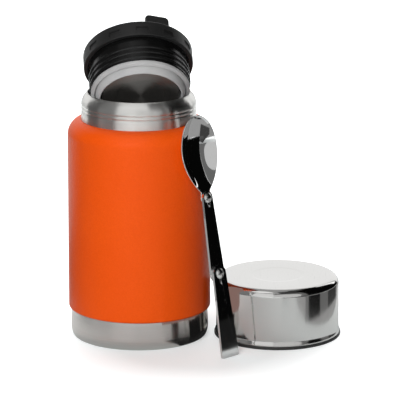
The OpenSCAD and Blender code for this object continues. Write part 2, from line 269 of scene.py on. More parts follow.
def turned(name, outline, material, angles=None, steps=160, shift=None, sharp=32.0):
    """Piece turned from a closed outline of (radius, height) points in millimetres. shift gives
    how far a point is moved outward at an angle, radius and height."""
    piece, mesh = new_piece(name), bmesh.new()
    angles = angles or [2 * math.pi * i / steps for i in range(steps)]
    rings = []
    for r, z in outline:
        on_axis = r < 1e-6
        if on_axis:
            rings.append([mesh.verts.new((0, 0, z * MM))])
            continue
        ring = []
        for a in angles:
            out = (r + (shift(a, r, z) if shift else 0)) * MM
            ring.append(mesh.verts.new((out * math.cos(a), out * math.sin(a), z * MM)))
        rings.append(ring)
    for ring, following in zip(rings, rings[1:] + rings[:1]):
        count = max(len(ring), len(following))
        for i in range(count if count > 1 else 0):
            j = (i + 1) % count
            corners = [ring[i % len(ring)], ring[j % len(ring)],
                       following[j % len(following)], following[i % len(following)]]
            mesh.faces.new(list(dict.fromkeys(corners)))
    finish_mesh(piece, mesh, material, sharp)
    return piece


rim_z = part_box("neck_collar")[1].z / MM
neck_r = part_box("neck_collar")[1].x / MM
rim_r = 35.6
neck_foot_r, neck_foot_z, neck_foot_top = 39.22, 151.33, 155.6
low_groove, high_groove, neck_t = 158.1, 160.7, 0.5


def groove(z):
    """A rolled groove, rounded at its bottom and at both edges."""
    return [(neck_r - 0.12, z - 0.75), (neck_r - 0.16, z - 0.55), (neck_r - 0.32, z - 0.25),
            (neck_r - 0.40, z), (neck_r - 0.32, z + 0.22), (neck_r - 0.14, z + 0.45),
            (neck_r - 0.08, z + 0.65)]


neck_steel = brushed_steel("neck_steel", (0.77, 0.765, 0.74), 0.28, 4200.0, 0.000003,
                           anisotropy=0.92)
barrel_low, lip_z = 161.6, rim_z - 0.6
rise = lip_z - barrel_low
foot_curve = [(neck_foot_r - (neck_foot_r - neck_r + 0.1) * math.sin(a),
               neck_foot_top - (neck_foot_top - neck_foot_z) * math.cos(a))
              for a in (math.radians(7.5 * i) for i in range(13))]
barrel_curve = [(neck_r - (neck_r - rim_r) * (i / 16) ** 2, barrel_low + rise * i / 16)
                for i in range(17)]
neck = turned("neck_barrel", sheet(
    [(neck_foot_r, neck_foot_z - 3.5)] + foot_curve + groove(low_groove) + groove(high_groove)
    + barrel_curve + arc((rim_r - neck_t, lip_z), neck_t, 20, 80, 5), neck_t), neck_steel)
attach(neck, "jar")
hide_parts("neck_collar")


# ---- Food vessel ----
# Inner vessel of stainless steel with a rolled screw thread in the mouth, a seat for the seal
# and a throat. Foil and getter sit in the vacuum round it, where nothing shows them.
PITCH = 4.1  # millimetres of rise in a turn of the thread
RUN_OUT = 0.06  # turns over which the thread fades at either end


def ridge(turn, z, first_z, turns, half_root, half_crest):
    """Share of the thread's height at a place. turn is the angle in whole turns, and the ridge
    narrows from half_root to half_crest."""
    height = 0.0
    for k in range(int(turns) + 2):
        along = turn + k
        if 0 < along < turns:
            run_out = min(1.0, along / RUN_OUT, (turns - along) / RUN_OUT)
            away = abs(z - first_z - PITCH * along)
            slope = (half_root - away) / (half_root - half_crest)
            height = max(height, run_out * min(1.0, max(0.0, slope)))
    return height * height * (3 - 2 * height)


vessel_r, vessel_floor, throat_r, seat_z, mouth_r = 43.3, 8.0, 32.0, 149.5, 34.67
vessel_t, seat_round, throat_round, throat_low = 0.4, 0.8, 2, 143.9
shoulder_round, shoulder_z, floor_round = 6, 135.9, 10
thread_z, thread_start, thread_depth = seat_z + 3.6, 0.125, 0.75


def mouth_thread(angle, r, z):
    if z < seat_z + 1.5 or z > rim_z - 3 or abs(r - mouth_r - 0.2) > 0.3:
        return 0.0
    turn = (angle / (2 * math.pi) + thread_start) % 1
    return -thread_depth * ridge(turn, z, thread_z, turns=2.0, half_root=1.1, half_crest=0.4)


vessel_steel = brushed_steel("vessel_steel", (0.66, 0.65, 0.63), 0.30, 3200.0, 0.000005)
mouth_wall = [(mouth_r, rim_z - (rim_z - seat_z - 1.2) * i / 72) for i in range(73)]
vessel = turned("food_vessel", sheet(
    mouth_wall
    + arc((mouth_r - seat_round, seat_z + seat_round), seat_round, 0, -90, 4)
    + arc((throat_r + seat_round, seat_z - seat_round), seat_round, 90, 180, 4)
    + arc((throat_r + throat_round, throat_low), throat_round, 180, 270, 6)
    + arc((vessel_r - shoulder_round, shoulder_z), shoulder_round, 90, 0, 10)
    + arc((vessel_r - floor_round, vessel_floor + floor_round), floor_round, 0, -90, 12)
    + [(0, vessel_floor)], vessel_t), vessel_steel, shift=mouth_thread)
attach(vessel, "jar")
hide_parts("inner_vessel")

foil, tree, shader = new_material("foil", (0.83, 0.82, 0.80), 0.18, 1.0)
creases = noise(tree, object_place(tree), 120.0, 4.0, 0.6)
bump(tree, shader, creases, 0.0004)
getter_metal, tree, shader = new_material("getter_metal", (0.22, 0.21, 0.20), 0.7, 0.6)
pores = noise(tree, object_place(tree), 2600.0, 2.0)
bump(tree, shader, pores, 0.00006)
paint_node("reflector_foil", foil)
paint_node("getter", getter_metal)


# ---- Stopper cap ----
# Moulded cap of black plastic with a matt grain, twelve shallow grip pockets round its edge
# and two lugs for the finger tab. The threaded plug is welded into it.
def shifted(x, y, z):
    """Matrix that moves a piece by this many millimetres."""
    return Matrix.Translation((x * MM, y * MM, z * MM))


def rotated(degrees, axis):
    return Matrix.Rotation(math.radians(degrees), 4, axis)


stopper_frame = shifted(1.25, -14.4, 174.1) @ rotated(-48.6, "X") @ rotated(-4, "Y")
cap_r, cap_low, cap_top, plug_r, recess_r = 37.05, 18.9, 30.4, 33.5, 31
pocket_count, pocket_w, pocket_h, pocket_depth, pocket_bevel = 12, 8.4, 3.8, 0.8, 0.28
first_pocket = -85  # degrees
low_round, top_round, weld_r = 0.6, 1.2, plug_r + 1.1
tab_shift, tab_w, tab_l, tab_t = 5.2, 16.7, 13.3, 2.2
hinge_r, hinge_h, lug_w, lug_round = 26.3, 29.9, 2, 1.6
tab_turn = rotated(20, "Z")


def moulded_group():
    """Moulded plastic: a fine matt grain, soft flow marks, and rubbed edges and handling."""
    group, source, sink = new_group("moulded_grain", {"Grain Size": 0.0005},
                                    ["Height", "Rubbed", "Haze"])
    place = object_place(group)
    grain = noise(group, place, math_node(group, "DIVIDE", 1.0, source["Grain Size"]), 2.0, 0.6)
    flow = noise(group, place, 90.0, 2.0)
    edges = spread(group, node(group, "NewGeometry").outputs["Pointiness"], 0.52, 0.62)
    scuffs = spread(group, noise(group, place, 320.0, 4.0, 0.7), 0.45, 0.7)
    group.links.new(math_node(group, "MULTIPLY_ADD", flow, 0.8, grain), sink["Height"])
    group.links.new(math_node(group, "MULTIPLY", edges, scuffs), sink["Rubbed"])
    group.links.new(spread(group, noise(group, place, 40.0, 3.0), 0.35, 0.7), sink["Haze"])
    return group


moulded_grain = moulded_group()


def black_plastic(name, shade, roughness, grain_size, depth, specular=0.5):
    """Moulded black plastic, a little lighter where it is hazed and much where it is rubbed."""
    material, tree, shader = new_material(name, (shade, shade, shade), roughness)
    shader.inputs["Specular IOR Level"].default_value = specular
    grain = place_group(tree, moulded_grain, {"Grain Size": grain_size})
    hazed = mix_colors(tree, grain["Haze"], (shade, shade, shade, 1),
                       (1.12 * shade, 1.12 * shade, 1.10 * shade, 1))
    rubbed = mix_colors(tree, grain["Rubbed"], hazed, (4 * shade, 4 * shade, 4 * shade, 1))
    tree.links.new(rubbed, shader.inputs["Base Color"])
    worn = math_node(tree, "MULTIPLY_ADD", grain["Haze"], -0.03, roughness)
    tree.links.new(worn, shader.inputs["Roughness"])
    bump(tree, shader, grain["Height"], depth)
    return material


black_cap = black_plastic("black_cap", 0.010, 0.42, 0.0006, 0.00002, specular=0.38)
pocket_half = math.asin(pocket_w / 2 / cap_r)
pocket_edge = pocket_bevel / cap_r
cap_angles = []
for k in range(pocket_count):
    middle = math.radians(first_pocket + 360 / pocket_count * k)
    cap_angles += [middle + pocket_half * (i / 6) for i in range(-5, 6)]
    cap_angles += [middle - pocket_half, middle + pocket_half]
    cap_angles += [middle - pocket_half + pocket_edge, middle + pocket_half - pocket_edge]
    rib = middle + math.radians(180 / pocket_count)
    cap_angles += [rib + math.radians(i * 1.4) for i in range(-5, 6)]
cap_angles = sorted(a % (2 * math.pi) for a in cap_angles)
pocket_low = (cap_low + cap_top - pocket_h) / 2 - 1
pocket_top = pocket_low + pocket_h


def grip_pocket(angle, r, z):
    """Depth of a pocket's floor below the cap's wall, with a narrow bevel at its edge."""
    if r < cap_r - 0.01 or z < pocket_low or z > pocket_top:
        return 0.0
    step = 2 * math.pi / pocket_count
    away = abs((angle - math.radians(first_pocket) + step / 2) % step - step / 2)
    side = (pocket_half - away) * cap_r
    inside = min(side, z - pocket_low, pocket_top - z)
    return -pocket_depth * min(1.0, max(0.0, inside / pocket_bevel))


cap_wall = [cap_low + 0.9, cap_low + 1.6, pocket_low - 0.3, pocket_low,
            pocket_low + pocket_bevel, pocket_low + 1.5, (pocket_low + pocket_top) / 2,
            pocket_top - 1.5, pocket_top - pocket_bevel, pocket_top, pocket_top + 0.3]
recess = cap_top - 2
cap = turned("stopper_lid", [(0, recess - 2), (weld_r, recess - 2), (weld_r, cap_low)]
             + [(cap_r - 0.9, cap_low)]
             + arc((cap_r - low_round, cap_low + low_round), low_round, -75, 0, 4)
             + [(cap_r, z) for z in cap_wall]
             + arc((cap_r - top_round, cap_top - top_round), top_round, 0, 90, 8)
             + [(recess_r + 0.9, cap_top), (recess_r + 0.6, cap_top - 0.1),
                (recess_r + 0.2, cap_top - 0.5), (recess_r, cap_top - 0.9),
                (recess_r, recess + 0.5), (recess_r - 0.15, recess + 0.15),
                (recess_r - 0.5, recess), (0, recess)],
             black_cap, angles=cap_angles, shift=grip_pocket)
cap.data.transform(stopper_frame)
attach(cap, "stopper")
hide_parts("stopper_cap")


def slab(name, outline, y_front, thickness, material, edge, segments=3, holes=()):
    """Plate with this outline in x and z, front face at y_front, and its edges rounded. Each
    hole or dimple is a turned cutter that a boolean takes away before the rounding."""
    piece, mesh = new_piece(name), bmesh.new()
    front = [mesh.verts.new((x * MM, y_front * MM, z * MM)) for x, z in outline]
    back = [mesh.verts.new((x * MM, (y_front + thickness) * MM, z * MM)) for x, z in outline]
    mesh.faces.new(front)
    mesh.faces.new(back[::-1])
    for i in range(len(front)):
        j = (i + 1) % len(front)
        mesh.faces.new((front[j], front[i], back[i], back[j]))
    finish_mesh(piece, mesh, material)
    for cutter in holes:
        cut = piece.modifiers.new("cut", "BOOLEAN")
        cut.operation, cut.solver, cut.object = "DIFFERENCE", "EXACT", cutter
    rounding = piece.modifiers.new("rounded edges", "BEVEL")
    rounding.width = edge * MM
    rounding.segments = segments
    rounding.limit_method = "ANGLE"
    rounding.angle_limit = math.radians(40)
    rounding.harden_normals = True
    return piece


def settle(piece):
    """Turns a piece's modifiers into its mesh."""
    bpy.context.view_layer.update()
    shown = piece.evaluated_get(bpy.context.evaluated_depsgraph_get())
    piece.data = bpy.data.meshes.new_from_object(shown)
    piece.modifiers.clear()


lug_foot = recess - 0.5 - hinge_h
lug_outline = [(-lug_round, lug_foot), (lug_round, lug_foot)] + arc((0, 0), lug_round, 0, 180, 12)
for side, name in ((-1, "left_lug"), (1, "right_lug")):
    middle = tab_shift + side * (tab_w + lug_w + 0.6) / 2
    lug = slab(name, lug_outline, -lug_w / 2, lug_w, black_cap, edge=0.25)
    settle(lug)
    lug.data.transform(stopper_frame @ tab_turn @ shifted(middle, -hinge_r, hinge_h)
                       @ rotated(90, "Z"))
    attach(lug, "stopper")


# ---- Finger tab ----
# Small tab of black plastic, moulded in one with the barrel it turns on. A steel pin, pressed
# into the cap's two lugs, holds it, and it folds down on the cap.
tab_frame = stopper_frame @ tab_turn @ shifted(tab_shift, -hinge_r, hinge_h)
tab_corner = 3
black_tab = black_plastic("black_tab", 0.014, 0.36, 0.0005, 0.000015)
tab_outline = ([(-tab_w / 2, 0.2), (tab_w / 2, 0.2)]
               + arc((tab_w / 2 - tab_corner, tab_l - tab_corner), tab_corner, 0, 90)
               + arc((tab_corner - tab_w / 2, tab_l - tab_corner), tab_corner, 90, 180))
tab = slab("finger_tab", tab_outline, -tab_t / 2, tab_t, black_tab, edge=0.5)
settle(tab)


def rod(bore, radius, half, bevel=0.2):
    """Outline of a rod or tube of this half length, with its ends bevelled."""
    return [(bore, -half), (radius - bevel, -half), (radius, bevel - half),
            (radius, half - bevel), (radius - bevel, half), (bore, half)]


barrel = turned("tab_barrel", rod(0.85, 1.4, tab_w / 2), black_tab, steps=40)
pin_steel = brushed_steel("pin_steel", (0.62, 0.61, 0.60), 0.25, 9000.0, 0.000002,
                          anisotropy=0.0)
pin = turned("hinge_pin", rod(0, 0.8, (tab_w + 4.6) / 2), pin_steel, steps=32)
tab.data.transform(tab_frame)
barrel.data.transform(tab_frame @ rotated(90, "Y"))
pin.matrix_world = tab_frame @ rotated(90, "Y")
for piece, body, slot in ((tab, "finger_tab", "black_tab"), (barrel, "finger_tab", "black_tab"),
                          (pin, "stopper", "pin_steel")):
    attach(piece, body)
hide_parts("lift_tab")
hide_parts("tab_pin")


# ---- Threaded plug ----
# Glossier black plug with the stopper's screw thread, filled with foam. Its foot is a boss
# that carries the steel disc and holds the seal.
skirt_r = mouth_r - 0.4
boss_r, boss_top, foot_r, foot_low = 27.2, 0.6, 25.7, -4.45
plug_t, plug_floor, boss_bore, boss_floor = 2, 2.6, 24.5, -2.8
plug_turn = 201 / 360  # turns by which the plug's thread starts later than the mouth's
black_plug = black_plastic("black_plug", 0.003, 0.22, 0.0008, 0.000004, specular=0.32)


def plug_thread(angle, r, z):
    if abs(r - plug_r) > 0.01:
        return 0.0
    turn = (angle / (2 * math.pi) - plug_turn + thread_start) % 1
    height = ridge(turn, z, first_z=1.9, turns=2.75, half_root=1.1, half_crest=0.45)
    return (skirt_r - plug_r) * height


plug_wall = [(plug_r, 1.0 + (cap_low - 1.0) * i / 90) for i in range(91)]
plug = turned("threaded_plug", [(0, foot_low), (foot_r, foot_low), (foot_r, -1.5),
                                (boss_r, -1.5), (boss_r, boss_top),
                                (plug_r - 0.5, boss_top), (plug_r - 0.15, 0.75)]
              + plug_wall
              + [(weld_r, cap_low), (weld_r, cap_low + 2), (plug_r - plug_t, cap_low + 2),
                 (plug_r - plug_t, plug_floor), (boss_bore, plug_floor),
                 (boss_bore, boss_floor), (0, boss_floor)],
              black_plug, steps=200, shift=plug_thread, sharp=50.0)
plug.data.transform(stopper_frame)
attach(plug, "stopper")
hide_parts("stopper_core")
foam, tree, shader = new_material("foam", (0.86, 0.82, 0.70), 0.9)
cells = node(tree, "TexVoronoi", {"Vector": object_place(tree), "Scale": 900.0})
bump(tree, shader, cells.outputs["Distance"], 0.0003)
paint_node("stopper_foam", foam)


# ---- Seal ----
# Moulded ring of light grey silicone, pressed on the boss: an outer edge that seats in the
# throat, a groove, and a rounded lower lip.
silicone, tree, shader = new_material("silicone", (0.40, 0.40, 0.40), 0.45)
grain = place_group(tree, moulded_grain, {"Grain Size": 0.0012})
dusty = mix_colors(tree, grain["Haze"], (0.38, 0.38, 0.385, 1), (0.46, 0.46, 0.455, 1))
tree.links.new(dusty, shader.inputs["Base Color"])
shader.inputs["Subsurface Weight"].default_value = 0.15
shader.inputs["Subsurface Radius"].default_value = (0.002, 0.002, 0.002)
bump(tree, shader, grain["Height"], 0.00002)
seal_groove = [(28.9, -6.1), (29.5, -5.3), (30.0, -4.0), (30.25, -3.2), (30.4, -1.5),
               (30.9, -1.4), (31.1, -2.6), (31.4, -3.0)]
seal = turned("seal_ring", [(boss_r, boss_top), (boss_r, -6.2)]
              + arc((27.85, -6.3), 0.7, 200, 330, 8) + seal_groove
              + arc((32.35, -1.3), 0.95, -60, 15, 6) + arc((32.6, -0.2), 0.7, 15, 60, 3)
              + [(32.7, boss_top)], silicone, steps=200, sharp=60.0)
seal.data.transform(stopper_frame)
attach(seal, "stopper")
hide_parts("stopper_seal")


# ---- Stopper disc ----
# Disc of stainless steel that closes the plug's underside. It is faced on a lathe, so its
# fine rings gather the light in two fans, and its middle is stepped up a little.
# The disc's steel is coloured far darker than the other steel: painted shade, for the dark jar
# mouth it faces.
disc_steel = brushed_steel("disc_steel", (0.32, 0.305, 0.29), 0.40, 6000.0, 0.000002,
                           anisotropy=0.97)
disc_steel.node_tree.nodes["Principled BSDF"].inputs["Metallic"].default_value = 0.92
disc_t, disc_low, disc_mid = 0.5, -5.3, -4.95
disc_step = [(15.8, disc_mid), (16.3, -5.0), (16.9, -5.25), (17.4, disc_low)]
disc = turned("faced_disc", sheet(
    [(0, disc_mid)] + disc_step + [(25.2, disc_low)] + arc((25.4, -4.5), 0.8, -80, 0, 6)
    + [(26.2, -1.5)], disc_t), disc_steel, steps=200, sharp=50.0)
disc.matrix_world = stopper_frame
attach(disc, "stopper")
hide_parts("stopper_disc")


# ---- Cup ----
# Drawn cup of polished stainless steel, rim down on the table, with a plain round step in
# its top. A black moulded liner is snapped inside and makes the ring round the rim.
cup_low, cup_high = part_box("cup_shell")
cup_x, cup_y = ((cup_low[i] + cup_high[i]) / 2 / MM for i in (0, 1))
cup_r, cup_h, cup_t, cup_round, ring_r = 42.0, cup_high.z / MM, 0.6, 5.2, 43.29
ring_round, ring_top, step_depth = 0.6, 2.3, 0.3
liner_r, liner_top, liner_foot_r, bead_r, bead_z = 39.2, 30, 38.8, 1.5, 8


def polish_group():
    """Polished steel in use: faint hairlines, wiped haze and a slight wave of the sheet."""
    group, source, sink = new_group("polish", {"Hairlines": 2200.0},
                                    ["Height", "Haze", "Hairs"])
    place = object_place(group)
    slanted = node(group, "Mapping", {"Vector": place, "Rotation": (0.5, 0.9, 0.4),
                                      "Scale": (1.0, 0.03, 0.2)}).outputs[0]
    hairs = noise(group, slanted, source["Hairlines"], 2.0)
    haze = noise(group, place, 35.0, 4.0, 0.6)
    wave = noise(group, place, 28.0, 1.0)
    group.links.new(wave, sink["Height"])
    group.links.new(spread(group, haze, 0.4, 0.75), sink["Haze"])
    group.links.new(spread(group, hairs, 0.62, 0.78), sink["Hairs"])
    return group


polish = polish_group()


def polished(name, color, roughness, wave):
    material, tree, shader = new_material(name, color, roughness, 1.0)
    finish = place_group(tree, polish, {})
    scratched = mix_colors(tree, finish["Hairs"], (*color, 1), (*(0.9 * c for c in color), 1))
    tree.links.new(scratched, shader.inputs["Base Color"])
    hazed = math_node(tree, "MULTIPLY_ADD", finish["Haze"], 0.05, roughness)
    hazed = math_node(tree, "MULTIPLY_ADD", finish["Hairs"], 0.05, hazed)
    tree.links.new(hazed, shader.inputs["Roughness"])
    bump(tree, shader, finish["Height"], wave)
    return material


polished_steel = polished("polished_steel", (0.71, 0.705, 0.69), 0.09, 0.00005)
cup_skirt = [(cup_r + 0.8, ring_top), (cup_r + 0.8, 2.7), (cup_r + 0.72, 3.2),
             (cup_r + 0.45, 3.9), (cup_r + 0.15, 4.7), (cup_r, 5.7)]
cup_step = [(19.0, cup_h), (18.2, cup_h - 0.04), (16.6, cup_h - 0.26),
            (15.8, cup_h - step_depth), (0, cup_h - step_depth)]
shell = turned("steel_cup", sheet(
    cup_skirt + arc((cup_r - cup_round, cup_h - cup_round), cup_round, 0, 90, 16)
    + cup_step, cup_t), polished_steel, steps=256)
black_liner = black_plastic("black_liner", 0.020, 0.45, 0.0006, 0.00002)
snug = cup_r - cup_t - 0.1
liner = turned("cup_lining", [(liner_foot_r, 0), (ring_r - ring_round, 0)]
               + arc((ring_r - ring_round, ring_round), ring_round, -90, 0, 5)
               + [(ring_r, 1.7), (ring_r - 0.15, 2.05), (ring_r - 0.4, ring_top),
                  (snug, ring_top), (snug, liner_top), (liner_r + 0.3, liner_top),
                  (liner_r + 0.05, liner_top - 0.2), (liner_r, liner_top - 0.5),
                  (liner_r, bead_z + bead_r)]
               + arc((liner_r, bead_z), bead_r, 90, 270, 10) + [(liner_foot_r, bead_z - 2)],
               black_liner, steps=192)
for piece, nodes, slot in ((shell, "cup_shell", "polished_steel"),
                           (liner, "cup_liner", "black_liner")):
    piece.matrix_world = shifted(cup_x, cup_y, 0)
    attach(piece, "cup")
    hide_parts(nodes)


# ---- Spoon ----
# Folding spoon pressed from stainless steel plate and mirror polished: bowl with its shank,
# middle plate and handle, with their edges rounded and a small dimple under each joint.
spoon_turn, spoon_reach, spoon_lean = 46, 85.2, 10.6
spoon_l, rivet_low, rivet_up, plate_t = 164.7, 57.3, 109.0, 1.6
bowl_w, bowl_depth, bowl_t, bowl_mid, bowl_low, bowl_neck = 33.4, 6.4, 1.2, 141.0, 113.0, 3.9
shank_y, link_y, eye_r, link_foot_r, handle_top_r = 0.2 + plate_t, 0.1, 4.4, 6.3, 5.8
foot_x, foot_round, plate_edge = 6.38, 1.6, 0.5
spoon_frame = (shifted(spoon_reach * math.sin(math.radians(spoon_turn)),
                       -spoon_reach * math.cos(math.radians(spoon_turn)), 0)
               @ rotated(spoon_turn, "Z") @ rotated(-spoon_lean, "X"))
spoon_steel = polished("spoon_steel", (0.77, 0.77, 0.765), 0.04, 0.00003)


def bowl_half(z):
    """Half width at height z: round eye, narrow neck, oval bowl."""
    if z > bowl_mid:
        return bowl_w / 2 * math.sqrt(max(0, 1 - ((z - bowl_mid) / (spoon_l - bowl_mid)) ** 2))
    if z > bowl_low:
        share = 1 - ((bowl_mid - z) / (bowl_mid - bowl_low)) ** 2
        return bowl_neck + (bowl_w / 2 - bowl_neck) * share ** 0.9
    if z > rivet_up:
        return eye_r + (bowl_neck - eye_r) * (z - rivet_up) / (bowl_low - rivet_up)
    return math.sqrt(max(0, eye_r ** 2 - (z - rivet_up) ** 2))


def bowl_dip(z):
    """Depth of the bowl below its rim at height z."""
    middle = bowl_mid - 1
    reach = spoon_l - middle if z > middle else middle - bowl_low - 2
    return bowl_depth * max(0, 1 - ((z - middle) / reach) ** 2) ** 0.8


def smooth(share):
    share = min(1.0, max(0.0, share))
    return share * share * (3 - 2 * share)


def bowl_section(z, across=20):
    """Loop round the bowl's steel at height z: front from left to right, edge, back, edge."""
    share = min(1, max(0, (z - bowl_low) / (spoon_l - bowl_low)))
    lift = 0.9 * math.sin(math.pi * share) ** 2
    steel = plate_t - 0.08 - (plate_t - bowl_t) * smooth((z - bowl_low) / 9)
    half, dip, y = max(bowl_half(z), 0.35), bowl_dip(z), shank_y + 0.04 + lift
    edge = min(0.3, half / 3)
    places = [-math.cos(math.pi * i / across) for i in range(across + 1)]
    front = [((half - edge) * u, y + dip * (1 - u * u)) for u in places]
    back = [(x, y_front + steel) for x, y_front in front]
    right = [(half - edge * 0.3, y + 0.1 * steel), (half, y + 0.35 * steel),
             (half, y + 0.65 * steel), (half - edge * 0.3, y + 0.9 * steel)]
    left = [(-x, y_edge) for x, y_edge in right]
    return front + right + back[::-1] + left[::-1]


heights = [rivet_up - eye_r * math.cos(math.radians(9 * i)) for i in range(10)]
heights += [rivet_up + (bowl_low - rivet_up) * i / 4 for i in range(1, 5)]
heights += [bowl_low + (spoon_l - bowl_low) * math.sin(math.radians(90 * i / 56))
            for i in range(1, 57)]
bowl, mesh = new_piece("spoon_bowl_steel"), bmesh.new()
loops = [[mesh.verts.new((x * MM, y * MM, z * MM)) for x, y in bowl_section(z)] for z in heights]
for lower, upper in zip(loops, loops[1:]):
    for i in range(len(lower)):
        j = (i + 1) % len(lower)
        mesh.faces.new((lower[i], lower[j], upper[j], upper[i]))
mesh.faces.new(loops[0][::-1])
mesh.faces.new(loops[-1])
finish_mesh(bowl, mesh, spoon_steel, sharp=75.0)
bowl_twist = shifted(0, 0, rivet_up) @ rotated(1.5, "Y") @ shifted(0, 0, -rivet_up)
bowl.data.transform(spoon_frame @ bowl_twist)


def plate_outline(z0, r0, z1, r1):
    """Bar with round ends of radius r0 at z0 and r1 at z1."""
    lean = math.degrees(math.asin((r0 - r1) / (z1 - z0)))
    return arc((0, z1), r1, lean, 180 - lean, 24) + arc((0, z0), r0, 180 - lean, 360 + lean, 24)


def dimple(z, y_face):
    """Ball that presses a small dimple into a plate's face."""
    ball_r, stands_out = 1.2, 0.9
    ball = turned("dimple", arc((0, 0), ball_r, -90, 90, 24), spoon_steel, steps=32)
    ball.matrix_world = shifted(0, y_face - stands_out, z)
    return ball


link_dimple = dimple(rivet_up - 6.2, link_y)
link = slab("spoon_middle_plate", plate_outline(rivet_low, link_foot_r, rivet_up, eye_r),
            link_y, plate_t, spoon_steel, plate_edge, segments=4, holes=[link_dimple])
handle_dimple = dimple(rivet_low - 7.2, -plate_t)
handle = slab("spoon_handle_plate", arc((0, rivet_low), handle_top_r, 3, 177, 24)
              + arc((-foot_x, foot_round), foot_round, 180, 270, 6)
              + arc((foot_x, foot_round), foot_round, 270, 360, 6),
              -plate_t, plate_t, spoon_steel, plate_edge, segments=4, holes=[handle_dimple])
for piece in (link, handle):
    settle(piece)
    piece.data.transform(spoon_frame)
for ball in (link_dimple, handle_dimple):
    bpy.data.objects.remove(ball)
for piece, body, nodes in ((bowl, "spoon_top", "spoon_bowl"), (link, "spoon_middle", "spoon_link"),
                           (handle, "spoon_foot", "spoon_handle")):
    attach(piece, body)
    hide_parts(nodes)


# ---- Rivets ----
# Two solid steel rivets join the spoon's plates: a domed head in front and a tail spread
# flush behind, so that the plates turn on them.
rivet_steel = polished("rivet_steel", (0.82, 0.815, 0.80), 0.20, 0.00001)
head_r, head_h, shaft_r, tail_r = 3.6, 1.3, 2.0, 2.6
dome_r = (head_r ** 2 + head_h ** 2) / (2 * head_h)
dome_tip = math.degrees(math.asin((dome_r - head_h) / dome_r))
for name, nodes, body, z, y_front, y_back in (
        ("upper_rivet_steel", "upper_rivet", "spoon_top", rivet_up,
         link_y, shank_y + plate_t),
        ("lower_rivet_steel", "lower_rivet", "spoon_middle", rivet_low,
         -plate_t, link_y + plate_t)):
    length = y_back - y_front
    shank = [(0, -0.05), (tail_r - 0.4, -0.05), (tail_r, 0.03), (shaft_r, 0.6),
             (shaft_r, length - 0.02), (head_r - 0.15, length - 0.02), (head_r, length + 0.1)]
    dome = arc((0, length + head_h - dome_r), dome_r, dome_tip + 2, 90, 12)
    rivet = turned(name, shank + dome, rivet_steel, steps=64, sharp=50.0)
    rivet.matrix_world = spoon_frame @ shifted(0, y_back, z) @ rotated(90, "X")
    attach(rivet, body)
    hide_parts(nodes)


# ---- Floor and studio ----
# A plain white table under three soft boxes, in front, above and behind. Dark, grey and bright
# cards stand or lie round the set and among the pieces. They light nothing and cast no shadow,
# and only the reflections see them: painted reflections, painted highlights and painted shade.
def dress_card(piece, mesh, strength, color=(1, 1, 1)):
    """Gives a card its mesh and its paint, and leaves it to the reflections alone: a painted
    reflection.
    """
    mesh.to_mesh(piece.data)
    mesh.free()
    paint = bpy.data.materials.new(piece.name + "_paint")
    paint.use_nodes = True
    tree = paint.node_tree
    tree.nodes.clear()
    shade = node(tree, "Emission", {"Color": (*color, 1), "Strength": strength})
    tree.links.new(shade.outputs[0], node(tree, "OutputMaterial").inputs["Surface"])
    piece.data.materials.append(paint)
    piece.visible_camera = False
    piece.visible_diffuse = False
    piece.visible_shadow = False
    piece.visible_transmission = False


def floor_distance(tree, x, y):
    """How far the shaded spot of the floor is from the spot (x, y)."""
    away = node(tree, "VectorMath", {0: object_place(tree), 1: (x, y, 0.0)}, operation="DISTANCE")
    return away.outputs["Value"]


set_x, floor_half = 0.04, 6  # the middle of the set, from left to right; half the floor
floor, mesh = new_piece("floor"), bmesh.new()
mesh.faces.new([mesh.verts.new((x * floor_half, y * floor_half, 0))
                for x, y in ((-1, -1), (1, -1), (1, 1), (-1, 1))])
mesh.to_mesh(floor.data)
mesh.free()
floor_white = bpy.data.materials.new("floor_white")
floor_white.use_nodes = True
tree = floor_white.node_tree
tree.nodes.clear()
path = node(tree, "LightPath").outputs
seen = math_node(tree, "MAXIMUM", path["Is Camera Ray"], path["Is Transmission Ray"])
# For light bounced onto the pieces the paper is much darker than it looks: painted shade on their
# lower sides.
shade = mix_colors(tree, path["Is Diffuse Ray"], (0.64, 0.665, 0.665, 1), (0.25, 0.25, 0.25, 1))
paper = node(tree, "BsdfDiffuse", {"Color": shade})
far = floor_distance(tree, set_x, -0.08)
# In reflections alone the floor also glows, little at the set, bright farther out and dark again
# beyond that: a painted reflection.
bright = math_node(tree, "SUBTRACT", spread(tree, far, 0.15, 0.60, 0.04, 0.72),
                   spread(tree, far, 0.62, 0.80, 0.0, 0.70))
level = math_node(tree, "MULTIPLY", path["Is Glossy Ray"], bright)
# In view it glows less close to the pieces than the clear white all round: painted shade round the
# set, on top of the real shadows.
clear = spread(tree, floor_distance(tree, set_x, -0.03), 0.055, 0.14, 0.37, 1.0)
level = math_node(tree, "MULTIPLY_ADD", seen, clear, level)
glow = node(tree, "Emission", {"Color": (1, 1, 1, 1), "Strength": level})
both = node(tree, "AddShader", {0: paper.outputs[0], 1: glow.outputs[0]})
tree.links.new(both.outputs[0], node(tree, "OutputMaterial").inputs["Surface"])
floor.data.materials.append(floor_white)


def direction(azimuth, elevation):
    """Direction out from the set, from angles in degrees. Azimuth 0 is the front and 90 the
    right."""
    a, e = math.radians(azimuth), math.radians(elevation)
    return Vector((math.sin(a) * math.cos(e), -math.cos(a) * math.cos(e), math.sin(e)))


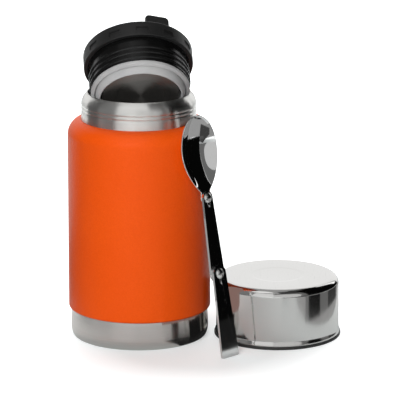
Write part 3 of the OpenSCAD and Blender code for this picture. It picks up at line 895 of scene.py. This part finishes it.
def card(name, azimuths, elevations, distance, strength, centre=(set_x, 0.0, 0.0), oval=False):
    """Curved card round the set, between two azimuths and two elevations. Its foot is 1 mm
    above the centre."""
    piece, mesh = new_piece(name), bmesh.new()
    foot = Vector(centre) + Vector((0, 0, 0.001))
    cells, rows = 16, []
    half_wide = (azimuths[1] - azimuths[0]) / 2
    half_high = (elevations[1] - elevations[0]) / 2
    for i in range(cells + 1):
        rise = -math.cos(math.pi * i / cells) if oval else 2 * i / cells - 1
        width = math.sqrt(max(1e-4, 1 - abs(rise) ** 3)) if oval else 1.0
        elevation = elevations[0] + half_high * (1 + rise)
        rows.append([mesh.verts.new(foot + distance * direction(
            azimuths[0] + half_wide * (1 + width * (2 * j / cells - 1)), elevation))
            for j in range(cells + 1)])
    for low, high in zip(rows, rows[1:]):
        for i in range(cells):
            mesh.faces.new((low[i], low[i + 1], high[i + 1], high[i]))
    dress_card(piece, mesh, strength)


card("dark_card_right", (58, 138), (0, 62), 0.50, 0.002)
card("low_card_right", (46, 60), (0, 4), 0.50, 0.10)
# A bright strip at the back right, seen only in reflections: a painted highlight.
card("strip_highlight_card", (125, 135), (14, 48), 0.49, 1.3)
card("dark_card_left", (-118, -85), (0, 62), 0.50, 0.10)
card("grey_card_left", (-85, -52), (0, 62), 0.50, 0.22)
card("front_wall", (-62, 60), (0, 50), 1.38, 0.16)
card("front_window", (-8, 46), (-4, 42), 1.36, 0.64, oval=True)
card("front_window_left", (-46, -6), (0, 48), 1.35, 0.82)
# A bright card above the neck's front, seen only in reflections: a painted highlight on the neck
# and the shoulder.
card("neck_highlight_card", (-48, 24), (30, 75), 0.20, 1.0, (0.0, 0.0, 0.165))
card("grey_ceiling", (-220, 8), (48, 90), 1.40, 0.38)
card("dark_ceiling", (8, 140), (48, 78), 1.40, 0.05)
card("grey_zenith", (8, 140), (78, 90), 1.40, 0.30)
# Low cards round the cup's foot, grey and dark, for the steel near them: painted reflection and
# painted shade.
cup_foot = (0.0946, -0.0015, 0.0)
for name, azimuths, strength in (("grey_card_cup_left", (44, 50), 0.20),
                                 ("dark_card_cup", (50, 73), 0.012),
                                 ("grey_card_cup", (73, 93), 0.165),
                                 ("grey_card_cup_right", (93, 124), 0.05)):
    card(name, azimuths, (0, 9.5), 0.128, strength, cup_foot)


def panel(name, corners, strength, color=(1, 1, 1)):
    """Flat card between these corners, on the floor or upright, for the reflections only."""
    piece, mesh = new_piece(name), bmesh.new()
    mesh.faces.new([mesh.verts.new(corner) for corner in corners])
    dress_card(piece, mesh, strength, color)


def mat(name, left, right, front, back, height, strength):
    """Oblong panel just above the floor."""
    panel(name, [(left, front, height), (right, front, height), (right, back, height),
                 (left, back, height)], strength)


# Mats just above the floor change how bright the floor is in the reflections: painted reflections.
# The dark mat in the gap between the jar and the cup is painted shade there.
mat("painted_shade_mat_gap", 0.028, 0.062, -0.057, 0.060, 0.0006, 0.02)
mat("grey_mat_right", 0.19, 0.52, -0.20, 0.40, 0.0008, 0.38)
mat("grey_mat_front", 0.12, 0.55, -0.52, -0.20, 0.0008, 0.32)
mat("dark_mat_left", -0.60, -0.115, -0.40, 0.20, 0.0007, 0.15)
mat("grey_mat_left", -0.45, -0.12, -0.080, -0.050, 0.0009, 0.42)
panel("dark_mat_front", [(0.258, -0.138, 0.001), (0.203, -0.264, 0.001), (0.28, -0.40, 0.001),
                         (0.98, -0.83, 0.001), (0.755, -0.43, 0.001)], 0.06)
# Pinkish-brown cards stand close round the coat's front right, between the jar and the cup: a
# painted reflection of the coat in shade, for the steel beside it.
brown, brown_low, brown_high = (1, 0.62, 0.55), 0.017, 0.078
for name, near, off in (("coat_reflection_card_gap", (0.0337, -0.0382), (0.0475, -0.0186)),
                        ("coat_reflection_card_front", (0.0180, -0.0465), (0.0337, -0.0382))):
    panel(name, [(*near, brown_low), (*off, brown_low), (*off, brown_high), (*near, brown_high)],
          0.30, brown)
# A dark card low beside the jar's base, towards the cup: painted shade in the reflections there.
panel("painted_shade_card_gap", [(0.0383, -0.0317, 0.001), (0.0495, -0.0158, 0.001),
                        (0.0495, -0.0158, 0.0165), (0.0383, -0.0317, 0.0165)], 0.01)


def lamp(name, azimuth, elevation, distance, width, height, power):
    """Soft box that looks at the middle of the set, and that reflections don't see."""
    light = bpy.data.objects.new(name, bpy.data.lights.new(name, "AREA"))
    light.data.shape = "RECTANGLE"
    light.data.size, light.data.size_y, light.data.energy = width, height, power
    back = direction(azimuth, elevation)
    light.location = Vector((set_x, 0, 0.09)) + distance * back
    light.rotation_mode = "QUATERNION"
    light.rotation_quaternion = (-back).to_track_quat("-Z", "Y")
    light.visible_glossy = False
    bpy.context.collection.objects.link(light)


lamp("front_box", -14, 22, 2.0, 1.0, 0.8, 41)
lamp("top_box", -160, 64, 1.8, 1.4, 1.4, 11)
lamp("back_box", 172, 20, 2.0, 1.6, 1.0, 34)

world = bpy.data.worlds.new("studio")
bpy.context.scene.world = world
world.use_nodes = True
tree = world.node_tree
tree.nodes.clear()
path = node(tree, "LightPath").outputs
seen = math_node(tree, "MAXIMUM", path["Is Camera Ray"], path["Is Glossy Ray"])
seen = math_node(tree, "MAXIMUM", seen, path["Is Transmission Ray"])
light_share = 0.05  # what the surroundings give to the light on the pieces
level = math_node(tree, "MULTIPLY_ADD", seen, 1 - light_share, light_share)
sky = node(tree, "Background", {"Color": (1, 1, 1, 1), "Strength": level})
tree.links.new(sky.outputs[0], node(tree, "OutputWorld").inputs["Surface"])
bpy.context.scene.view_settings.view_transform = "Standard"
